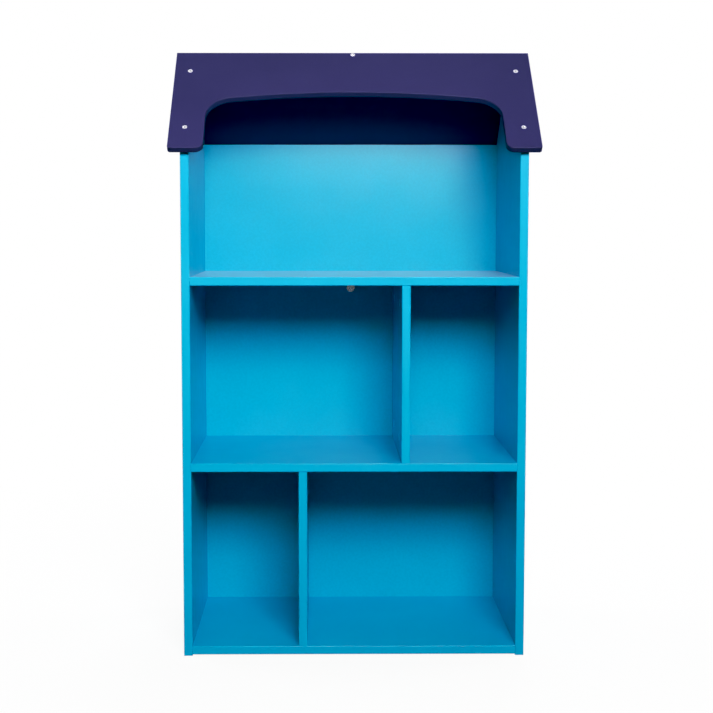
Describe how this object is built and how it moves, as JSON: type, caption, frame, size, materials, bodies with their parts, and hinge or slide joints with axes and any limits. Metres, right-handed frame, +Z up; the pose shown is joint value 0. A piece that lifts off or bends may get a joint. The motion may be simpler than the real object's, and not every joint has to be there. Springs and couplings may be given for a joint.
{
  "type": "house-shaped bookcase",
  "caption": "Free-standing children's bookcase shaped like a house, with open cubbies behind painted boards and a gabled roof with an arched front.",
  "frame": {"origin": "on the floor, at the middle of the overall width and of the overall front-to-back length", "axes": "+X to the bookcase's right seen from the front, +Y from the open front to the back panel, +Z up"},
  "size_m": [0.64, 0.3388, 1.0714],
  "materials": {
    "blue_board": "semi-gloss paint on fibreboard",
    "blue_back": "semi-gloss paint on thin hardboard",
    "purple_board": "satin paint on fibreboard",
    "zinc_screw": "bright zinc plate",
    "nail_steel": "plain steel wire",
    "cam_zinc": "die-cast zinc, dull",
    "bolt_steel": "yellowish zinc plate",
    "beech": "bare beech",
    "satin_nickel": "nickel plated, satin"
  },
  "bodies": {
    "root": {"side_panel_left": "blue_board", "side_panel_right": "blue_board", "bottom_board": "blue_board", "middle_shelf": "blue_board", "top_shelf": "blue_board", "divider_upper": "blue_board", "divider_lower": "blue_board", "back_panel": "blue_back", "back_hole_cap": "satin_nickel", "roof_front_board": "purple_board", "roof_rear_board": "purple_board", "roof_front_screws": "zinc_screw", "roof_rear_screws": "zinc_screw", "ridge_screw": "zinc_screw", "back_panel_nails": "nail_steel", "cam_locks_bottom_board": "cam_zinc", "cam_bolts_bottom_board": "bolt_steel", "dowels_bottom_board": "beech", "cam_locks_middle_shelf": "cam_zinc", "cam_bolts_middle_shelf": "bolt_steel", "dowels_middle_shelf": "beech", "cam_locks_top_shelf": "cam_zinc", "cam_bolts_top_shelf": "bolt_steel", "dowels_top_shelf": "beech", "cam_locks_divider_upper": "cam_zinc", "cam_bolts_divider_upper": "bolt_steel", "dowels_divider_upper": "beech", "cam_locks_divider_lower": "cam_zinc", "cam_bolts_divider_lower": "bolt_steel", "dowels_divider_lower": "beech"}
  },
  "joints": []
}
